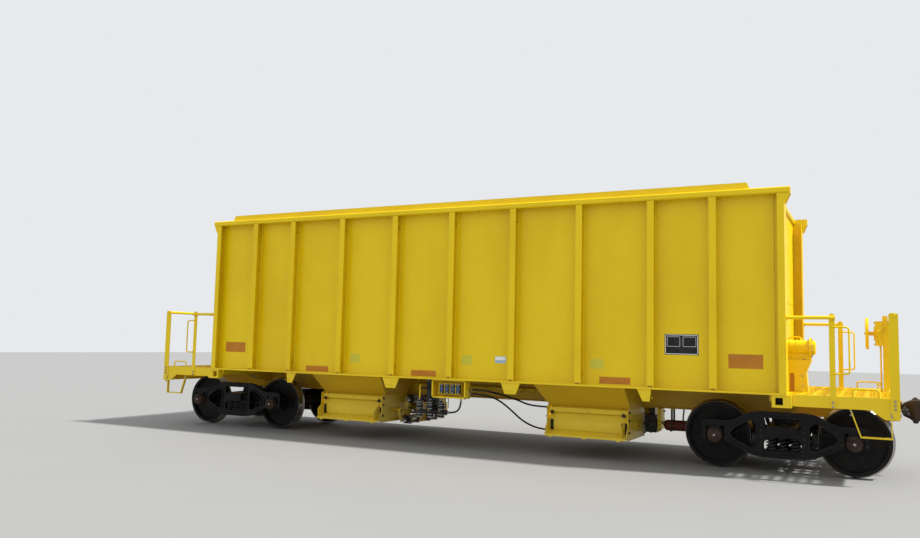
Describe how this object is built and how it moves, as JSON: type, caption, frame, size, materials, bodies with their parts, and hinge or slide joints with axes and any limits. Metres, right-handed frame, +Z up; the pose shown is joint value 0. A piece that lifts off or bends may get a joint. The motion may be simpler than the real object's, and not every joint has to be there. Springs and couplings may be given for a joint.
{
  "type": "side and centre dumping ballast hopper wagon",
  "caption": "Open-topped ballast hopper wagon on two bogies, with radial discharge gates worked by air cylinders and a railed platform at each end.",
  "frame": {"origin": "middle of the wagon on its long centreline, at the foot of the wheel flanges", "axes": "+X along the wagon towards the hand-brake end, +Y to the side with the covered box, +Z up"},
  "size_m": [13.3322, 3.252, 3.966],
  "materials": {
    "yellow_paint": "gloss enamel",
    "wheel_steel": "dark rolled steel",
    "cast_steel": "black painted casting",
    "rod_steel": "ground",
    "cylinder": "satin",
    "valve_iron": "black enamel",
    "hose_rubber": "matt",
    "coupler_iron": "painted casting"
  },
  "bodies": {
    "root": {"air_main": "yellow_paint", "air_valves": "valve_iron", "body_bolsters": "yellow_paint", "brake_cylinder": "yellow_paint", "centre_sill": "yellow_paint", "control_cabinet": "yellow_paint", "corner_posts": "yellow_paint", "couplers": "coupler_iron", "covered_box": "yellow_paint", "discharge_boxes": "yellow_paint", "discharge_chutes": "yellow_paint", "end_chords": "yellow_paint", "end_ladders": "yellow_paint", "end_sheets": "yellow_paint", "gate_cylinders": "cylinder", "hand_brake": "yellow_paint", "hose_a_inner": "hose_rubber", "hose_b_inner": "hose_rubber", "hose_b_outer": "hose_rubber", "hose_supply": "hose_rubber", "load_valve": "valve_iron", "platform_channels": "yellow_paint", "platform_cross_members": "yellow_paint", "platform_gratings": "yellow_paint", "platform_railings": "yellow_paint", "pocket_end_walls": "yellow_paint", "pocket_hoods": "yellow_paint", "pocket_side_slopes": "yellow_paint", "side_chords": "yellow_paint", "side_posts": "yellow_paint", "side_sheets": "yellow_paint", "side_sills": "yellow_paint", "slope_sheets": "yellow_paint", "uncoupling_levers": "yellow_paint"},
    "bogie_a": {"bogie_a_bolster": "cast_steel", "bogie_a_side_frames": "cast_steel", "bogie_a_springs": "cast_steel"},
    "bogie_b": {"bogie_b_bolster": "cast_steel", "bogie_b_side_frames": "cast_steel", "bogie_b_springs": "cast_steel"},
    "gate_a_inner": {"gate_a_inner": "yellow_paint"},
    "gate_a_outer": {"gate_a_outer": "yellow_paint"},
    "gate_b_inner": {"gate_b_inner": "yellow_paint"},
    "gate_b_outer": {"gate_b_outer": "yellow_paint"},
    "gate_c_inner": {"gate_c_inner": "yellow_paint"},
    "gate_c_outer": {"gate_c_outer": "yellow_paint"},
    "gate_d_inner": {"gate_d_inner": "yellow_paint"},
    "gate_d_outer": {"gate_d_outer": "yellow_paint"},
    "rod_a_inner": {"rod_a_inner": "rod_steel"},
    "rod_a_outer": {"rod_a_outer": "rod_steel"},
    "rod_b_inner": {"rod_b_inner": "rod_steel"},
    "rod_b_outer": {"rod_b_outer": "rod_steel"},
    "rod_c_inner": {"rod_c_inner": "rod_steel"},
    "rod_c_outer": {"rod_c_outer": "rod_steel"},
    "rod_d_inner": {"rod_d_inner": "rod_steel"},
    "rod_d_outer": {"rod_d_outer": "rod_steel"},
    "wheelset_a1": {"wheelset_a1": "wheel_steel"},
    "wheelset_a2": {"wheelset_a2": "wheel_steel"},
    "wheelset_b1": {"wheelset_b1": "wheel_steel"},
    "wheelset_b2": {"wheelset_b2": "wheel_steel"}
  },
  "joints": [
    {"name": "bogie_a_swivel", "type": "hinge", "parent": "root", "child": "bogie_a", "pos_m": [-4.872, 0, 0.68], "axis": [0, 0, 1], "range_deg": [-6, 6]},
    {"name": "wheelset_a1_roll", "type": "hinge", "parent": "bogie_a", "child": "wheelset_a1", "pos_m": [-5.761, 0, 0.483], "axis": [0, 1, 0], "continuous": true},
    {"name": "wheelset_a2_roll", "type": "hinge", "parent": "bogie_a", "child": "wheelset_a2", "pos_m": [-3.983, 0, 0.483], "axis": [0, 1, 0], "continuous": true},
    {"name": "bogie_b_swivel", "type": "hinge", "parent": "root", "child": "bogie_b", "pos_m": [4.872, 0, 0.68], "axis": [0, 0, 1], "range_deg": [-6, 6]},
    {"name": "wheelset_b1_roll", "type": "hinge", "parent": "bogie_b", "child": "wheelset_b1", "pos_m": [3.983, 0, 0.483], "axis": [0, 1, 0], "continuous": true},
    {"name": "wheelset_b2_roll", "type": "hinge", "parent": "bogie_b", "child": "wheelset_b2", "pos_m": [5.761, 0, 0.483], "axis": [0, 1, 0], "continuous": true},
    {"name": "gate_a_inner_swing", "type": "hinge", "parent": "root", "child": "gate_a_inner", "pos_m": [-2.134, -0.62, 0.496], "axis": [1, 0, 0], "range_deg": [0, 28]},
    {"name": "rod_a_inner_stroke", "type": "slide", "parent": "root", "child": "rod_a_inner", "axis": [0, -1, 0], "range_m": [0, 0.0903]},
    {"name": "gate_a_outer_swing", "type": "hinge", "parent": "root", "child": "gate_a_outer", "pos_m": [-2.134, -0.74, 0.496], "axis": [-1, 0, 0], "range_deg": [0, 28]},
    {"name": "rod_a_outer_stroke", "type": "slide", "parent": "root", "child": "rod_a_outer", "axis": [0, -1, 0], "range_m": [0, 0.0903]},
    {"name": "gate_b_inner_swing", "type": "hinge", "parent": "root", "child": "gate_b_inner", "pos_m": [2.134, -0.62, 0.496], "axis": [1, 0, 0], "range_deg": [0, 28]},
    {"name": "rod_b_inner_stroke", "type": "slide", "parent": "root", "child": "rod_b_inner", "axis": [0, -1, 0], "range_m": [0, 0.0903]},
    {"name": "gate_b_outer_swing", "type": "hinge", "parent": "root", "child": "gate_b_outer", "pos_m": [2.134, -0.74, 0.496], "axis": [-1, 0, 0], "range_deg": [0, 28]},
    {"name": "rod_b_outer_stroke", "type": "slide", "parent": "root", "child": "rod_b_outer", "axis": [0, -1, 0], "range_m": [0, 0.0903]},
    {"name": "gate_c_inner_swing", "type": "hinge", "parent": "root", "child": "gate_c_inner", "pos_m": [2.134, 0.62, 0.496], "axis": [-1, 0, 0], "range_deg": [0, 28]},
    {"name": "rod_c_inner_stroke", "type": "slide", "parent": "root", "child": "rod_c_inner", "axis": [0, 1, 0], "range_m": [0, 0.0903]},
    {"name": "gate_c_outer_swing", "type": "hinge", "parent": "root", "child": "gate_c_outer", "pos_m": [2.134, 0.74, 0.496], "axis": [1, 0, 0], "range_deg": [0, 28]},
    {"name": "rod_c_outer_stroke", "type": "slide", "parent": "root", "child": "rod_c_outer", "axis": [0, 1, 0], "range_m": [0, 0.0903]},
    {"name": "gate_d_inner_swing", "type": "hinge", "parent": "root", "child": "gate_d_inner", "pos_m": [-2.134, 0.62, 0.496], "axis": [-1, 0, 0], "range_deg": [0, 28]},
    {"name": "rod_d_inner_stroke", "type": "slide", "parent": "root", "child": "rod_d_inner", "axis": [0, 1, 0], "range_m": [0, 0.0903]},
    {"name": "gate_d_outer_swing", "type": "hinge", "parent": "root", "child": "gate_d_outer", "pos_m": [-2.134, 0.74, 0.496], "axis": [1, 0, 0], "range_deg": [0, 28]},
    {"name": "rod_d_outer_stroke", "type": "slide", "parent": "root", "child": "rod_d_outer", "axis": [0, 1, 0], "range_m": [0, 0.0903]}
  ],
  "couplings": [
    {"joint": "rod_a_inner_stroke", "follows": "gate_a_inner_swing", "m_per_rad": 0.18061},
    {"joint": "rod_a_outer_stroke", "follows": "gate_a_outer_swing", "m_per_rad": 0.18061},
    {"joint": "rod_b_inner_stroke", "follows": "gate_b_inner_swing", "m_per_rad": 0.18061},
    {"joint": "rod_b_outer_stroke", "follows": "gate_b_outer_swing", "m_per_rad": 0.18061},
    {"joint": "rod_c_inner_stroke", "follows": "gate_c_inner_swing", "m_per_rad": 0.18061},
    {"joint": "rod_c_outer_stroke", "follows": "gate_c_outer_swing", "m_per_rad": 0.18061},
    {"joint": "rod_d_inner_stroke", "follows": "gate_d_inner_swing", "m_per_rad": 0.18061},
    {"joint": "rod_d_outer_stroke", "follows": "gate_d_outer_swing", "m_per_rad": 0.18061}
  ]
}
